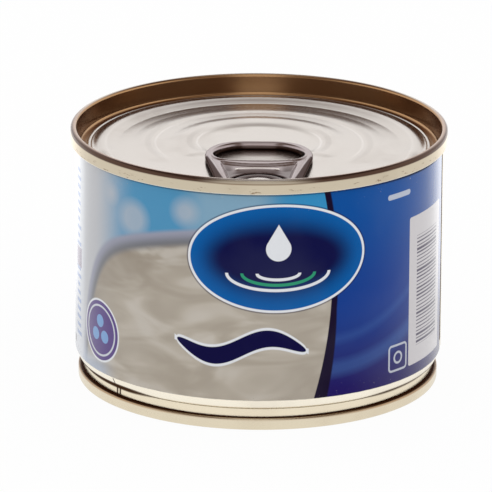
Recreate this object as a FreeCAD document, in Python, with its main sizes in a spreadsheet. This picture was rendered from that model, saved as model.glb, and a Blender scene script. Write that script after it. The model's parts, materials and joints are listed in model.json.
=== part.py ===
import FreeCAD, Part
import math
import os
import Sketcher
from FreeCAD import Placement, Rotation, Vector

# Squat welded tinplate can of table cream with a ring-pull easy-open end on top and a
# necked-in foot that nests inside the top seam of the can below.
# Four pieces: can_body (printed wall with the contents), top_end, pull_tab, bottom_end.
# Frame: +Z up, origin at the middle of the foot, the ring pull lies towards -Y. Millimetres.

# Driving dimensions: alias, value, what it is.
sizes = [
    ("canHeight", 52.0, "foot to the crown of the top seam"),
    ("sheet", 0.25, "thickness of the end sheet"),
    ("bodyRadius", 36.65, "outside of the printed wall"),
    # top double seam, chuck wall, countersink groove and panel
    ("topSeamRadius", 37.6, "outside of the top double seam"),
    ("topSeamDepth", 2.95, "height of the top double seam"),
    ("topSeamWall", 1.18, "thickness of the top double seam"),
    ("topSeamCrown", 0.57, "rounding of the seam's crown"),
    ("topSeamFootRound", 0.45, "rounding of the seam's lower lip"),
    ("chuckBendRadius", 36.1, "foot of the steep part of the chuck wall"),
    ("chuckBendDepth", 3.35, "crown to that foot"),
    ("chuckBendRound", 1.6, "rounding where the chuck wall turns in"),
    ("topGrooveOuter", 35.72, "outer side of the countersink groove"),
    ("topGrooveInner", 34.42, "inner side of the countersink groove"),
    ("topGrooveDepth", 4.55, "crown to the bottom of the groove"),
    ("topGrooveRound", 0.64, "rounding of the groove's bottom"),
    ("panelRadius", 34.2, "edge of the end panel"),
    ("panelDepth", 3.75, "crown to the panel"),
    ("panelEdgeRound", 0.3, "rounding of the panel's edge"),
    ("scoreRadius", 33.6, "circle of the tear score"),
    ("scoreWidth", 0.26, "width of the score"),
    ("scoreDepth", 0.12, "depth of the score"),
    # stiffening beads pressed into the panel, open towards the ring pull
    ("outerBeadRadius", 30.2, "middle line of the outer bead"),
    ("outerBeadSweep", 218.0, "angle that the outer bead covers"),
    ("middleBeadRadius", 22.3, "middle line of the middle bead"),
    ("middleBeadSweep", 252.0, "angle that the middle bead covers"),
    ("innerBeadRadius", 14.3, "middle line of the inner bead"),
    ("innerBeadSweep", 262.0, "angle that the inner bead covers"),
    ("beadWidth", 2.2, "width of a bead"),
    ("beadRise", 0.28, "height of a bead"),
    # rivet raised from the panel, which holds the ring pull
    ("rivetOffset", 28.4, "centre of the can to the rivet"),
    ("bossRadius", 4.0, "seat of the ring pull around the rivet"),
    ("bossSkirt", 5.2, "foot of that seat"),
    ("rivetStem", 2.0, "stem of the rivet"),
    ("rivetHead", 3.2, "radius of the staked head"),
    ("rivetHeadRise", 0.5, "thickness of the staked head"),
    ("rivetHeadRound", 0.3, "rounding of the staked head"),
    ("rivetDimple", 1.3, "radius of the dimple in the head"),
    ("rivetDimpleDepth", 0.2, "depth of that dimple"),
    # ring pull
    ("tabGap", 0.2, "panel to the underside of the ring pull"),
    ("tabThick", 1.4, "height of the curled rim"),
    ("tabRound", 0.6, "rounding of the curled rim"),
    ("ringShoulder", 4.4, "middle of the ring to the centre of its corner"),
    ("ringMiddle", 11.2, "centre of the can to the widest place of the ring"),
    ("ringCorner", 6.25, "corner radius of the ring"),
    ("ringCrown", 13.5, "radius of the ring's far edge"),
    ("noseShoulder", 3.5, "middle of the nose to the centre of its corner"),
    ("noseMiddle", 28.2, "centre of the can to the centre of the nose corner"),
    ("noseCorner", 4.55, "corner radius of the nose"),
    ("noseCrown", 15.0, "radius of the blunt tip"),
    ("holeMiddle", 10.7, "centre of the can to the widest place of the finger hole"),
    ("holeShoulder", 4.6, "middle of the finger hole to the centre of its corner"),
    ("holeCorner", 4.5, "corner radius of the finger hole"),
    ("holeCrown", 13.5, "radius of the finger hole's long sides"),
    ("holeRound", 0.55, "rounding of the finger hole's edge"),
    ("webThick", 0.45, "thickness of the web inside the rim"),
    ("webBack", 21.3, "centre of the can to the web's inner end"),
    ("webFront", 31.0, "centre of the can to the web's outer end"),
    ("webBackHalf", 7.3, "half width of the web at its inner end"),
    ("webFrontHalf", 4.7, "half width of the web at its outer end"),
    ("webCorner", 1.6, "corner radius of the web"),
    ("webFillet", 0.35, "fillet between web and rim"),
    ("webLip", 0.5, "rounding of the rim above the web"),
    ("slotOuter", 5.6, "outer radius of the slot round the rivet island"),
    ("slotInner", 4.65, "inner radius of that slot"),
    ("slotOpen", 24.0, "angle by which the slot runs past the half circle"),
    ("rivetPlay", 0.04, "play of the rivet stem in the island"),
    # necked-in foot and bottom end
    ("neckTop", 6.35, "height where the wall starts to neck in"),
    ("neckBottom", 4.5, "height where the neck is reached"),
    ("neckRadius", 35.1, "outside of the neck"),
    ("neckRound", 1.3, "rounding at the top of the neck"),
    ("neckThroat", 0.9, "rounding at the bottom of the neck"),
    ("footSeamRadius", 35.93, "outside of the foot seam"),
    ("footSeamHeight", 2.4, "height of the foot seam"),
    ("footSeamWall", 1.15, "thickness of the foot seam"),
    ("footSeamCrown", 0.42, "rounding of the foot seam"),
    ("footSeamLip", 0.4, "rounding of the foot seam's upper lip"),
    ("footGrooveOuter", 34.2, "foot of the bottom chuck wall"),
    ("footGrooveInner", 32.9, "inner side of the bottom groove"),
    ("footGrooveDepth", 4.1, "floor to the bottom of the groove"),
    ("footGrooveRound", 0.6, "rounding of the bottom groove"),
    ("footPanelRadius", 32.7, "edge of the bottom panel"),
    ("footPanelDepth", 3.2, "floor to the bottom panel"),
    ("footStepOuter", 27.4, "outer circle of the expansion step"),
    ("footStepInner", 18.6, "inner circle of the expansion step"),
    ("footStepRise", 0.55, "height of the expansion step"),
    ("footStepSlope", 0.6, "width of the step's slope"),
    # lap weld of the side seam
    ("weldAngle", -1.0, "place of the side weld, from +X towards +Y"),
    ("weldWidth", 1.1, "width of the weld bead"),
    ("weldRise", 0.1, "how far the weld stands proud"),
]

doc = FreeCAD.newDocument("table_cream_can")
sheet = doc.addObject("Spreadsheet::Sheet", "Sizes")
for row, (alias, value, note) in enumerate(sizes, start=1):
    sheet.set(f"A{row}", note)
    sheet.set(f"B{row}", str(value))
    sheet.setAlias(f"B{row}", alias)
doc.recompute()


class Size:
    """A dimension with two faces: its number now, and the expression that keeps it bound."""

    def __init__(self, text, value):
        self.text = text
        self.value = value

    def join(self, sign, other, result):
        other_text = other.text if isinstance(other, Size) else repr(other)
        return Size(f"({self.text} {sign} {other_text})", result)

    def __add__(self, other):
        return self.join("+", other, self.value + number(other))

    def __sub__(self, other):
        return self.join("-", other, self.value - number(other))

    def __mul__(self, other):
        return self.join("*", other, self.value * number(other))

    def __truediv__(self, other):
        return self.join("/", other, self.value / number(other))

    def __neg__(self):
        return Size(f"(0 - {self.text})", -self.value)


def number(term):
    return term.value if isinstance(term, Size) else term


class Sizes:
    """Looks a driving dimension up by its alias."""

    def __getattr__(self, alias):
        return Size(f"Sizes.{alias}", float(sheet.get(alias)))


size = Sizes()
axis = 0.0
far_side = 90.0

# ---------------------------------------------------------------- helpers for features


def new_body(label):
    body = doc.addObject("PartDesign::Body", label)
    body.Label = label
    doc.recompute()
    return body


def origin_plane(body, role):
    return next(item for item in body.Origin.OriginFeatures if item.Role == role)


def new_sketch(body, name, role):
    sketch = body.newObject("Sketcher::SketchObject", name)
    sketch.AttachmentSupport = [(origin_plane(body, role), "")]
    sketch.MapMode = "FlatFace"
    doc.recompute()
    return sketch


def bind(sketch, index, name, term):
    """Names a constraint and ties its value to the sheet."""
    sketch.renameConstraint(index, name)
    if isinstance(term, Size):
        sketch.setExpression(f"Constraints.{name}", term.text)


def pin_point(sketch, geo, end, name, across, along):
    """Fixes a point of the sketch by its two coordinates; axis means on the sketch's axis."""
    for kind, term, axis_id in (("DistanceX", across, -2), ("DistanceY", along, -1)):
        if number(term) == axis:
            sketch.addConstraint(Sketcher.Constraint("PointOnObject", geo, end, axis_id))
        else:
            index = sketch.addConstraint(Sketcher.Constraint(kind, -1, 1, geo, end, number(term)))
            bind(sketch, index, name + kind[-1], term)


def outline(sketch, corners):
    """A closed outline of straight runs, each corner bound to the sheet."""
    places = [Vector(number(across), number(along), 0) for name, across, along in corners]
    lines = []
    for start, end in zip(places, places[1:] + places[:1]):
        lines.append(sketch.addGeometry(Part.LineSegment(start, end), False))
    for line, following in zip(lines, lines[1:] + lines[:1]):
        sketch.addConstraint(Sketcher.Constraint("Coincident", line, 2, following, 1))
    for line, (name, across, along) in zip(lines, corners):
        pin_point(sketch, line, 1, name, across, along)


def arc(sketch, centre, radius, start, end):
    """An arc by its angles in degrees, counter-clockwise."""
    circle = Part.Circle(Vector(*centre, 0), Vector(0, 0, 1), number(radius))
    return sketch.addGeometry(
        Part.ArcOfCircle(circle, math.radians(start), math.radians(end)), False)


def hold_radius(sketch, geo, name, term):
    index = sketch.addConstraint(Sketcher.Constraint("Radius", geo, number(term)))
    bind(sketch, index, name, term)


def join_smoothly(sketch, chain):
    """Makes each piece of a closed chain leave tangent to the one before it."""
    for geo, following in zip(chain, chain[1:] + chain[:1]):
        sketch.addConstraint(Sketcher.Constraint("Tangent", geo, 2, following, 1))


def revolve(body, name, sketch, kind="PartDesign::Revolution", turn_axis="V_Axis", angle=360.0):
    feature = body.newObject(kind, name)
    feature.Profile = sketch
    feature.ReferenceAxis = (sketch, [turn_axis])
    feature.Angle = number(angle)
    if isinstance(angle, Size):
        feature.setExpression("Angle", angle.text)
        feature.Midplane = True
    sketch.Visibility = False
    doc.recompute()
    return feature


def round_edges(body, name, base, radius, wanted):
    """Fillets the circular edges of the base that lie at the wanted (radius, height) places."""
    found = []
    for ring_radius, height in wanted:
        for number_of_edge, edge in enumerate(base.Shape.Edges, start=1):
            if edge.Degenerated or not isinstance(edge.Curve, Part.Circle):
                continue
            level = abs(edge.CenterOfMass.z - number(height)) < 0.001
            if level and abs(edge.Curve.Radius - number(ring_radius)) < 0.001:
                found.append(f"Edge{number_of_edge}")
    if len(found) != len(wanted):
        raise SystemExit(f"{name}: {len(found)} edges found, {len(wanted)} wanted")
    return fillet(body, name, base, radius, found)


def fillet(body, name, base, radius, edges):
    feature = body.newObject("PartDesign::Fillet", name)
    feature.Base = (base, edges)
    feature.Radius = number(radius)
    feature.setExpression("Radius", radius.text)
    doc.recompute()
    return feature


# ---------------------------------------------------------------- shared levels

crown = size.canHeight
top_seam_foot = crown - size.topSeamDepth
top_groove = crown - size.topGrooveDepth
panel = crown - size.panelDepth
top_seam_inner = size.topSeamRadius - size.topSeamWall
# where the sheet of the chuck wall comes out below the seam
wall_under_seam = size.chuckBendRadius + size.sheet * 1.15
chuck_bend = crown - size.chuckBendDepth

foot_seam_inner = size.footSeamRadius - size.footSeamWall
foot_wall_in_seam = size.footGrooveOuter + size.sheet * 1.6
foot_panel_back = size.footPanelDepth + size.sheet
foot_step_back = foot_panel_back + size.footStepRise

# Undersides of the two ends, from the axis out: both the ends and the contents follow them.
top_underside = [
    ("underPanel", axis, panel - size.sheet),
    ("underEdge", size.panelRadius - size.sheet, panel - size.sheet),
    ("underGrooveInner", size.topGrooveInner - size.sheet, top_groove - size.sheet),
    ("underGrooveOuter", size.topGrooveOuter + size.sheet, top_groove - size.sheet),
    ("underBend", size.chuckBendRadius + size.sheet, chuck_bend),
    ("underSeam", wall_under_seam, top_seam_foot),
]
foot_back = [
    ("backAxis", axis, foot_panel_back),
    ("backStepFoot", size.footStepInner - size.footStepSlope, foot_panel_back),
    ("backStepTop", size.footStepInner, foot_step_back),
    ("backStepOuter", size.footStepOuter, foot_step_back),
    ("backStepEnd", size.footStepOuter + size.footStepSlope, foot_panel_back),
    ("backEdge", size.footPanelRadius - size.sheet, foot_panel_back),
    ("backGrooveInner", size.footGrooveInner - size.sheet, size.footGrooveDepth + size.sheet),
    ("backGrooveOuter", size.footGrooveOuter + size.sheet, size.footGrooveDepth + size.sheet),
    ("backSeam", foot_wall_in_seam, size.footSeamHeight),
]
top_groove_back_round = size.topGrooveRound + size.sheet
foot_groove_back_round = size.footGrooveRound + size.sheet


def groove_back_edges(path):
    """The two corners at the back of a countersink groove."""
    return [(radius, height) for name, radius, height in path if "Groove" in name]


# ---------------------------------------------------------------- can body with its contents

def make_can_body():
    body = new_body("can_body")
    profile = new_sketch(body, "WallAndContents", "XZ_Plane")
    outside = [
        ("wallTop", size.bodyRadius, top_seam_foot),
        ("wallNeck", size.bodyRadius, size.neckTop),
        ("neck", size.neckRadius, size.neckBottom),
        ("neckFoot", size.neckRadius, size.footSeamHeight),
    ]
    outline(profile, top_underside + outside + list(reversed(foot_back)))
    solid = revolve(body, "WallRevolved", profile)
    solid = round_edges(body, "NeckTopRound", solid, size.neckRound,
                        [(size.bodyRadius, size.neckTop)])
    solid = round_edges(body, "NeckThroatRound", solid, size.neckThroat,
                        [(size.neckRadius, size.neckBottom)])
    solid = round_edges(body, "TopGrooveSeat", solid, top_groove_back_round,
                        groove_back_edges(top_underside))
    solid = round_edges(body, "FootGrooveSeat", solid, foot_groove_back_round,
                        groove_back_edges(foot_back))
    return body, add_side_weld(body, solid)


def add_side_weld(body, wall):
    """The lap weld: a low flat strip that runs up the wall between neck and seam."""
    strip = new_sketch(body, "WeldSection", "XY_Plane")
    strip.AttachmentOffset = Placement(
        Vector(0, 0, size.neckTop.value), Rotation(Vector(0, 0, 1), size.weldAngle.value))
    strip.setExpression("AttachmentOffset.Base.z", size.neckTop.text)
    strip.setExpression("AttachmentOffset.Rotation.Angle", size.weldAngle.text)
    doc.recompute()
    half = size.weldWidth / 2
    inner = size.bodyRadius - 1
    outer = size.bodyRadius + size.weldRise
    outline(strip, [("lowInner", inner, -half), ("lowOuter", outer, -half),
                    ("highOuter", outer, half), ("highInner", inner, half)])
    pad = body.newObject("PartDesign::Pad", "WeldStrip")
    pad.Profile = strip
    length = top_seam_foot - size.neckTop
    pad.Length = length.value
    pad.setExpression("Length", length.text)
    doc.recompute()
    return pad


# ---------------------------------------------------------------- easy-open end

def make_top_end():
    body = new_body("top_end")
    profile = new_sketch(body, "EndSection", "XZ_Plane")
    half_score = size.scoreWidth / 2
    seam_and_panel = [
        ("seamFoot", size.topSeamRadius, top_seam_foot),
        ("seamCrown", size.topSeamRadius, crown),
        ("seamInner", top_seam_inner, crown),
        ("chuckBend", size.chuckBendRadius, chuck_bend),
        ("grooveOuter", size.topGrooveOuter, top_groove),
        ("grooveInner", size.topGrooveInner, top_groove),
        ("panelEdge", size.panelRadius, panel),
        ("scoreOuter", size.scoreRadius + half_score, panel),
        ("scoreRoot", size.scoreRadius, panel - size.scoreDepth),
        ("scoreInner", size.scoreRadius - half_score, panel),
        ("panelAxis", axis, panel),
    ]
    outline(profile, seam_and_panel + top_underside)
    solid = revolve(body, "EndRevolved", profile)
    solid = round_edges(body, "GrooveRound", solid, size.topGrooveRound,
                        [(size.topGrooveOuter, top_groove), (size.topGrooveInner, top_groove)])
    solid = round_edges(body, "GrooveBackRound", solid, top_groove_back_round,
                        groove_back_edges(top_underside))
    solid = round_edges(body, "ChuckBendRound", solid, size.chuckBendRound,
                        [(size.chuckBendRadius, chuck_bend)])
    solid = round_edges(body, "PanelEdgeRound", solid, size.panelEdgeRound,
                        [(size.panelRadius, panel)])
    solid = round_edges(body, "SeamCrownRound", solid, size.topSeamCrown,
                        [(size.topSeamRadius, crown), (top_seam_inner, crown)])
    solid = round_edges(body, "SeamFootRound", solid, size.topSeamFootRound,
                        [(size.topSeamRadius, top_seam_foot)])
    for name in ("outer", "middle", "inner"):
        solid = add_bead(body, name)
    return body, add_rivet(body)


def hump(section, radius, whole):
    """A low circular-arc hump on the panel, whole or from its middle line outwards only."""
    half = size.beadWidth / 2
    hump_radius = (half * half + size.beadRise * size.beadRise) / (size.beadRise * 2)
    top = panel + size.beadRise
    foot = panel - size.sheet / 2
    start = radius - half if whole else radius
    start_level = panel if whole else top
    outer = radius + half
    lean = math.degrees(math.asin(half.value / hump_radius.value))
    crest = arc(section, (radius.value, top.value - hump_radius.value), hump_radius,
                90 - lean, 90 + lean if whole else 90)
    places = [Vector(start.value, start_level.value, 0), Vector(start.value, foot.value, 0),
              Vector(outer.value, foot.value, 0), Vector(outer.value, panel.value, 0)]
    sides = [section.addGeometry(Part.LineSegment(*ends), False)
             for ends in zip(places, places[1:])]
    chain = [crest] + sides
    for geo, following in zip(chain, chain[1:] + chain[:1]):
        section.addConstraint(Sketcher.Constraint("Coincident", geo, 2, following, 1))
    pin_point(section, sides[0], 1, "start", start, start_level)
    pin_point(section, sides[1], 1, "startFoot", start, foot)
    pin_point(section, sides[2], 1, "outerFoot", outer, foot)
    pin_point(section, sides[2], 2, "outerTop", outer, panel)
    hold_radius(section, crest, "crest", hump_radius)
    return sides[0]


def add_bead(body, name):
    """One bead: an arc centred on the far side of the panel, with a domed end at each tip."""
    radius = getattr(size, name + "BeadRadius")
    sweep = getattr(size, name + "BeadSweep")
    section = new_sketch(body, name + "BeadSection", "XZ_Plane")
    hump(section, radius, True)
    turn_upright(section, far_side)
    revolve(body, name + "Bead", section, angle=sweep)
    for side, half_sweep in (("Left", sweep / 2), ("Right", -sweep / 2)):
        tip = new_sketch(body, f"{name}Bead{side}Section", "XZ_Plane")
        middle_line = hump(tip, radius, False)
        ends = [tip.getPoint(middle_line, end) for end in (1, 2)]
        turning_line = tip.addGeometry(Part.LineSegment(*ends), True)
        for end in (1, 2):
            tip.addConstraint(Sketcher.Constraint(
                "Coincident", turning_line, end, middle_line, end))
        turn_upright(tip, half_sweep + far_side)
        solid = revolve(body, f"{name}Bead{side}End", tip, turn_axis="Axis0")
    return solid


def turn_upright(sketch, angle):
    """Stands an upright sketch at the given angle about the can's axis, from +X."""
    sketch.AttachmentOffset = Placement(Vector(), Rotation(Vector(0, 1, 0), number(angle)))
    text = angle.text if isinstance(angle, Size) else repr(angle)
    sketch.setExpression("AttachmentOffset.Rotation.Angle", text)
    doc.recompute()


def add_rivet(body):
    """The integral rivet: seat, stem and staked head, turned about its own upright axis."""
    section = new_sketch(body, "RivetSection", "YZ_Plane")
    centre = -size.rivetOffset
    seat = panel + size.tabGap
    head_foot = seat + size.webThick
    head_top = head_foot + size.rivetHeadRise
    outline(section, [
        ("root", centre, panel - size.sheet / 2),
        ("skirtRoot", centre + size.bossSkirt, panel - size.sheet / 2),
        ("skirt", centre + size.bossSkirt, panel),
        ("seat", centre + size.bossRadius, seat),
        ("stemFoot", centre + size.rivetStem, seat),
        ("stemTop", centre + size.rivetStem, head_foot),
        ("headFoot", centre + size.rivetHead, head_foot),
        ("headTop", centre + size.rivetHead, head_top),
        ("dimpleEdge", centre + size.rivetDimple, head_top),
        ("dimple", centre + size.rivetDimple * 0.6, head_top - size.rivetDimpleDepth),
        ("dimpleAxis", centre, head_top - size.rivetDimpleDepth),
    ])
    ends = [Vector(centre.value, head_foot.value, 0), Vector(centre.value, head_top.value, 0)]
    line = section.addGeometry(Part.LineSegment(*ends), True)
    pin_point(section, line, 1, "axisLow", centre, head_foot)
    pin_point(section, line, 2, "axisHigh", centre, head_top)
    solid = revolve(body, "Rivet", section, turn_axis="Axis0")
    return round_edges(body, "RivetHeadRound", solid, size.rivetHeadRound,
                       [(size.rivetHead, head_top)])


# ---------------------------------------------------------------- ring pull

def oval(sketch, names, shoulder, middle, corner, crown_radius):
    """An oval of two long arcs and two corner arcs, centred at y = -middle."""
    side, up = shoulder.value, crown_radius.value
    lean = math.degrees(math.asin(side / (up - corner.value)))
    drop = (up - corner.value) * math.cos(math.radians(lean))
    level = -middle.value
    far = arc(sketch, (0, level - drop), crown_radius, 90 - lean, 90 + lean)
    left = arc(sketch, (-side, level), corner, 90 + lean, 270 - lean)
    near = arc(sketch, (0, level + drop), crown_radius, 270 - lean, 270 + lean)
    right = arc(sketch, (side, level), corner, 270 + lean, 450 - lean)
    join_smoothly(sketch, [far, left, near, right])
    pin_point(sketch, left, 3, names + "Left", -shoulder, -middle)
    pin_point(sketch, right, 3, names + "Right", shoulder, -middle)
    hold_radius(sketch, left, names + "CornerLeft", corner)
    hold_radius(sketch, right, names + "CornerRight", corner)
    hold_radius(sketch, far, names + "Far", crown_radius)
    hold_radius(sketch, near, names + "Near", crown_radius)


def tab_outline(sketch):
    """Round ring end, two legs that draw together, and the blunt nose."""
    ring = (size.ringShoulder.value, -size.ringMiddle.value)
    nose = (size.noseShoulder.value, -size.noseMiddle.value)
    ring_corner, nose_corner = size.ringCorner.value, size.noseCorner.value
    ring_lean = math.degrees(math.asin(ring[0] / (size.ringCrown.value - ring_corner)))
    nose_lean = math.degrees(math.asin(nose[0] / (size.noseCrown.value - nose_corner)))
    span = math.hypot(ring[0] - nose[0], ring[1] - nose[1])
    leg_lean = math.degrees(math.atan2(ring[0] - nose[0], ring[1] - nose[1]))
    leg_lean += math.degrees(math.asin((ring_corner - nose_corner) / span))
    ring_drop = (size.ringCrown.value - ring_corner) * math.cos(math.radians(ring_lean))
    nose_drop = (size.noseCrown.value - nose_corner) * math.cos(math.radians(nose_lean))

    def on_circle(centre, radius, angle):
        return Vector(centre[0] + radius * math.cos(math.radians(angle)),
                      centre[1] + radius * math.sin(math.radians(angle)), 0)

    ring_left = (-ring[0], ring[1])
    nose_left = (-nose[0], nose[1])
    far = arc(sketch, (0, ring[1] - ring_drop), size.ringCrown, 90 - ring_lean, 90 + ring_lean)
    left = arc(sketch, ring_left, size.ringCorner, 90 + ring_lean, 180 + leg_lean)
    left_leg = sketch.addGeometry(Part.LineSegment(
        on_circle(ring_left, ring_corner, 180 + leg_lean),
        on_circle(nose_left, nose_corner, 180 + leg_lean)), False)
    nose_left_arc = arc(sketch, nose_left, size.noseCorner, 180 + leg_lean, 270 - nose_lean)
    tip = arc(sketch, (0, nose[1] + nose_drop), size.noseCrown, 270 - nose_lean, 270 + nose_lean)
    nose_right_arc = arc(sketch, nose, size.noseCorner, 270 + nose_lean, 360 - leg_lean)
    right_leg = sketch.addGeometry(Part.LineSegment(
        on_circle(nose, nose_corner, -leg_lean),
        on_circle(ring, ring_corner, -leg_lean)), False)
    right = arc(sketch, ring, size.ringCorner, -leg_lean, 90 - ring_lean)
    join_smoothly(sketch, [far, left, left_leg, nose_left_arc, tip,
                           nose_right_arc, right_leg, right])
    pin_point(sketch, left, 3, "ringLeft", -size.ringShoulder, -size.ringMiddle)
    pin_point(sketch, right, 3, "ringRight", size.ringShoulder, -size.ringMiddle)
    pin_point(sketch, nose_left_arc, 3, "noseLeft", -size.noseShoulder, -size.noseMiddle)
    pin_point(sketch, nose_right_arc, 3, "noseRight", size.noseShoulder, -size.noseMiddle)
    for geo, name, radius in ((left, "ringCornerLeft", size.ringCorner),
                              (right, "ringCornerRight", size.ringCorner),
                              (nose_left_arc, "noseCornerLeft", size.noseCorner),
                              (nose_right_arc, "noseCornerRight", size.noseCorner),
                              (far, "ringCrown", size.ringCrown),
                              (tip, "noseCrown", size.noseCrown)):
        hold_radius(sketch, geo, name, radius)


def slot_outline(sketch):
    """The C-shaped slot that frees the rivet island, closed towards the nose."""
    centre = (0, -size.rivetOffset.value)
    opening = size.slotOpen.value
    outer = arc(sketch, centre, size.slotOuter, -opening, 180 + opening)
    inner = arc(sketch, centre, size.slotInner, -opening, 180 + opening)
    ends = []
    for end in (1, 2):
        places = [sketch.getPoint(outer, end), sketch.getPoint(inner, end)]
        ends.append(sketch.addGeometry(Part.LineSegment(*places), False))
        sketch.addConstraint(Sketcher.Constraint("Coincident", ends[-1], 1, outer, end))
        sketch.addConstraint(Sketcher.Constraint("Coincident", ends[-1], 2, inner, end))
    pin_point(sketch, outer, 3, "slotCentre", axis, -size.rivetOffset)
    sketch.addConstraint(Sketcher.Constraint("Coincident", inner, 3, outer, 3))
    hold_radius(sketch, outer, "slotOuter", size.slotOuter)
    hold_radius(sketch, inner, "slotInner", size.slotInner)
    drop = size.slotOuter.value * math.sin(math.radians(opening))
    for end in (1, 2):
        index = sketch.addConstraint(Sketcher.Constraint(
            "DistanceY", outer, end, outer, 3, drop))
        bind(sketch, index, f"slotEnd{end}", Size(
            "(Sizes.slotOuter * sin(Sizes.slotOpen * 1deg))", drop))
        sketch.addConstraint(Sketcher.Constraint("PointOnObject", outer, 3, ends[end - 1]))


def cut(body, name, sketch, depth=None):
    """A pocket downwards from the sketch, through everything where no depth is given."""
    before = body.Tip.Shape.Volume
    feature = body.newObject("PartDesign::Pocket", name)
    feature.Profile = sketch
    if depth is None:
        feature.Type = "ThroughAll"
        feature.Midplane = True
    else:
        feature.Length = depth.value
        feature.setExpression("Length", depth.text)
    sketch.Visibility = False
    doc.recompute()
    if feature.Shape.Volume > before - 0.01:
        raise SystemExit(f"{name} removes nothing")
    return feature


def raise_sketch(sketch, height):
    sketch.AttachmentOffset = Placement(Vector(0, 0, height.value), Rotation())
    sketch.setExpression("AttachmentOffset.Base.z", height.text)
    doc.recompute()


def edges_near(shape, height, inside):
    """Edges that lie flat at a height and whose middles pass the given test."""
    found = []
    for index, edge in enumerate(shape.Edges, start=1):
        box = edge.BoundBox
        flat = box.ZMax - box.ZMin < 0.001 and abs(box.ZMin - number(height)) < 0.001
        if flat and inside(edge.CenterOfMass.x, edge.CenterOfMass.y, edge):
            found.append(f"Edge{index}")
    return found


def make_pull_tab():
    body = new_body("pull_tab")
    blank = new_sketch(body, "TabOutline", "XY_Plane")
    tab_outline(blank)
    pad = body.newObject("PartDesign::Pad", "TabBlank")
    pad.Profile = blank
    pad.Length = size.tabThick.value
    pad.setExpression("Length", size.tabThick.text)
    blank.Visibility = False
    doc.recompute()

    top = size.tabThick
    rim = edges_near(pad.Shape, top, lambda x, y, edge: True)
    rim += edges_near(pad.Shape, axis, lambda x, y, edge: True)
    solid = fillet(body, "CurledRim", pad, size.tabRound, rim)

    hole = new_sketch(body, "FingerHoleOutline", "XY_Plane")
    oval(hole, "hole", size.holeShoulder, size.holeMiddle, size.holeCorner, size.holeCrown)
    solid = cut(body, "FingerHole", hole)
    reach = size.holeMiddle.value + size.holeCorner.value + 2

    def is_hole(x, y, edge):
        return y > -reach and abs(x) < size.holeShoulder.value + size.holeCorner.value

    lip = edges_near(solid.Shape, top, is_hole) + edges_near(solid.Shape, axis, is_hole)
    solid = fillet(body, "CurledHoleEdge", solid, size.holeRound, lip)

    web = new_sketch(body, "WebOutline", "XY_Plane")
    raise_sketch(web, top)
    outline(web, [
        ("backLeft", -size.webBackHalf, -size.webBack),
        ("frontLeft", -size.webFrontHalf, -size.webFront),
        ("frontRight", size.webFrontHalf, -size.webFront),
        ("backRight", size.webBackHalf, -size.webBack),
    ])
    web_depth = size.tabThick - size.webThick
    solid = cut(body, "WebRecess", web, web_depth)

    upright = [f"Edge{index}" for index, edge in enumerate(solid.Shape.Edges, start=1)
               if abs(edge.BoundBox.ZLength - web_depth.value) < 0.001
               and edge.BoundBox.XLength < 0.001 and edge.BoundBox.YLength < 0.001
               and edge.CenterOfMass.y < -size.webBack.value + 0.001]
    solid = fillet(body, "WebCorners", solid, size.webCorner, upright)

    def in_web(x, y, edge):
        return y < -size.webBack.value + 0.01 and abs(x) < size.webBackHalf.value + 0.01

    solid = fillet(body, "RimOverWeb", solid, size.webLip, edges_near(solid.Shape, top, in_web))
    solid = fillet(body, "WebFillet", solid, size.webFillet,
                   edges_near(solid.Shape, size.webThick, in_web))

    slot = new_sketch(body, "IslandSlotOutline", "XY_Plane")
    slot_outline(slot)
    cut(body, "IslandSlot", slot)

    seat = new_sketch(body, "RivetHoleOutline", "XY_Plane")
    circle = seat.addGeometry(Part.Circle(
        Vector(0, -size.rivetOffset.value, 0), Vector(0, 0, 1), size.rivetStem.value), False)
    pin_point(seat, circle, 3, "rivetCentre", axis, -size.rivetOffset)
    hold_radius(seat, circle, "rivetHole", size.rivetStem + size.rivetPlay)
    solid = cut(body, "RivetHole", seat)

    lift = panel + size.tabGap
    body.Placement = Placement(Vector(0, 0, lift.value), Rotation())
    body.setExpression("Placement.Base.z", lift.text)
    doc.recompute()
    return body, solid


# ---------------------------------------------------------------- bottom end

def make_bottom_end():
    body = new_body("bottom_end")
    profile = new_sketch(body, "FootSection", "XZ_Plane")
    step_low = size.footPanelDepth
    step_high = size.footPanelDepth + size.footStepRise
    face = [
        ("seamTop", size.footSeamRadius, size.footSeamHeight),
        ("seamFoot", size.footSeamRadius, axis),
        ("seamInner", foot_seam_inner, axis),
        ("grooveOuter", size.footGrooveOuter, size.footGrooveDepth),
        ("grooveInner", size.footGrooveInner, size.footGrooveDepth),
        ("panelEdge", size.footPanelRadius, step_low),
        ("stepEnd", size.footStepOuter + size.footStepSlope, step_low),
        ("stepOuter", size.footStepOuter, step_high),
        ("stepTop", size.footStepInner, step_high),
        ("stepFoot", size.footStepInner - size.footStepSlope, step_low),
        ("panelAxis", axis, step_low),
    ]
    outline(profile, face + foot_back)
    solid = revolve(body, "FootRevolved", profile)
    solid = round_edges(body, "FootGrooveRound", solid, size.footGrooveRound,
                        [(size.footGrooveOuter, size.footGrooveDepth),
                         (size.footGrooveInner, size.footGrooveDepth)])
    solid = round_edges(body, "FootGrooveBackRound", solid, foot_groove_back_round,
                        groove_back_edges(foot_back))
    solid = round_edges(body, "FootSeamRound", solid, size.footSeamCrown,
                        [(size.footSeamRadius, axis), (foot_seam_inner, axis)])
    solid = round_edges(body, "FootSeamLipRound", solid, size.footSeamLip,
                        [(size.footSeamRadius, size.footSeamHeight)])
    return body, solid


# ---------------------------------------------------------------- build, check and write

pieces = [make_can_body(), make_top_end(), make_pull_tab(), make_bottom_end()]
for body, last_feature in pieces:
    body.Tip = last_feature
doc.recompute()

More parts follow.
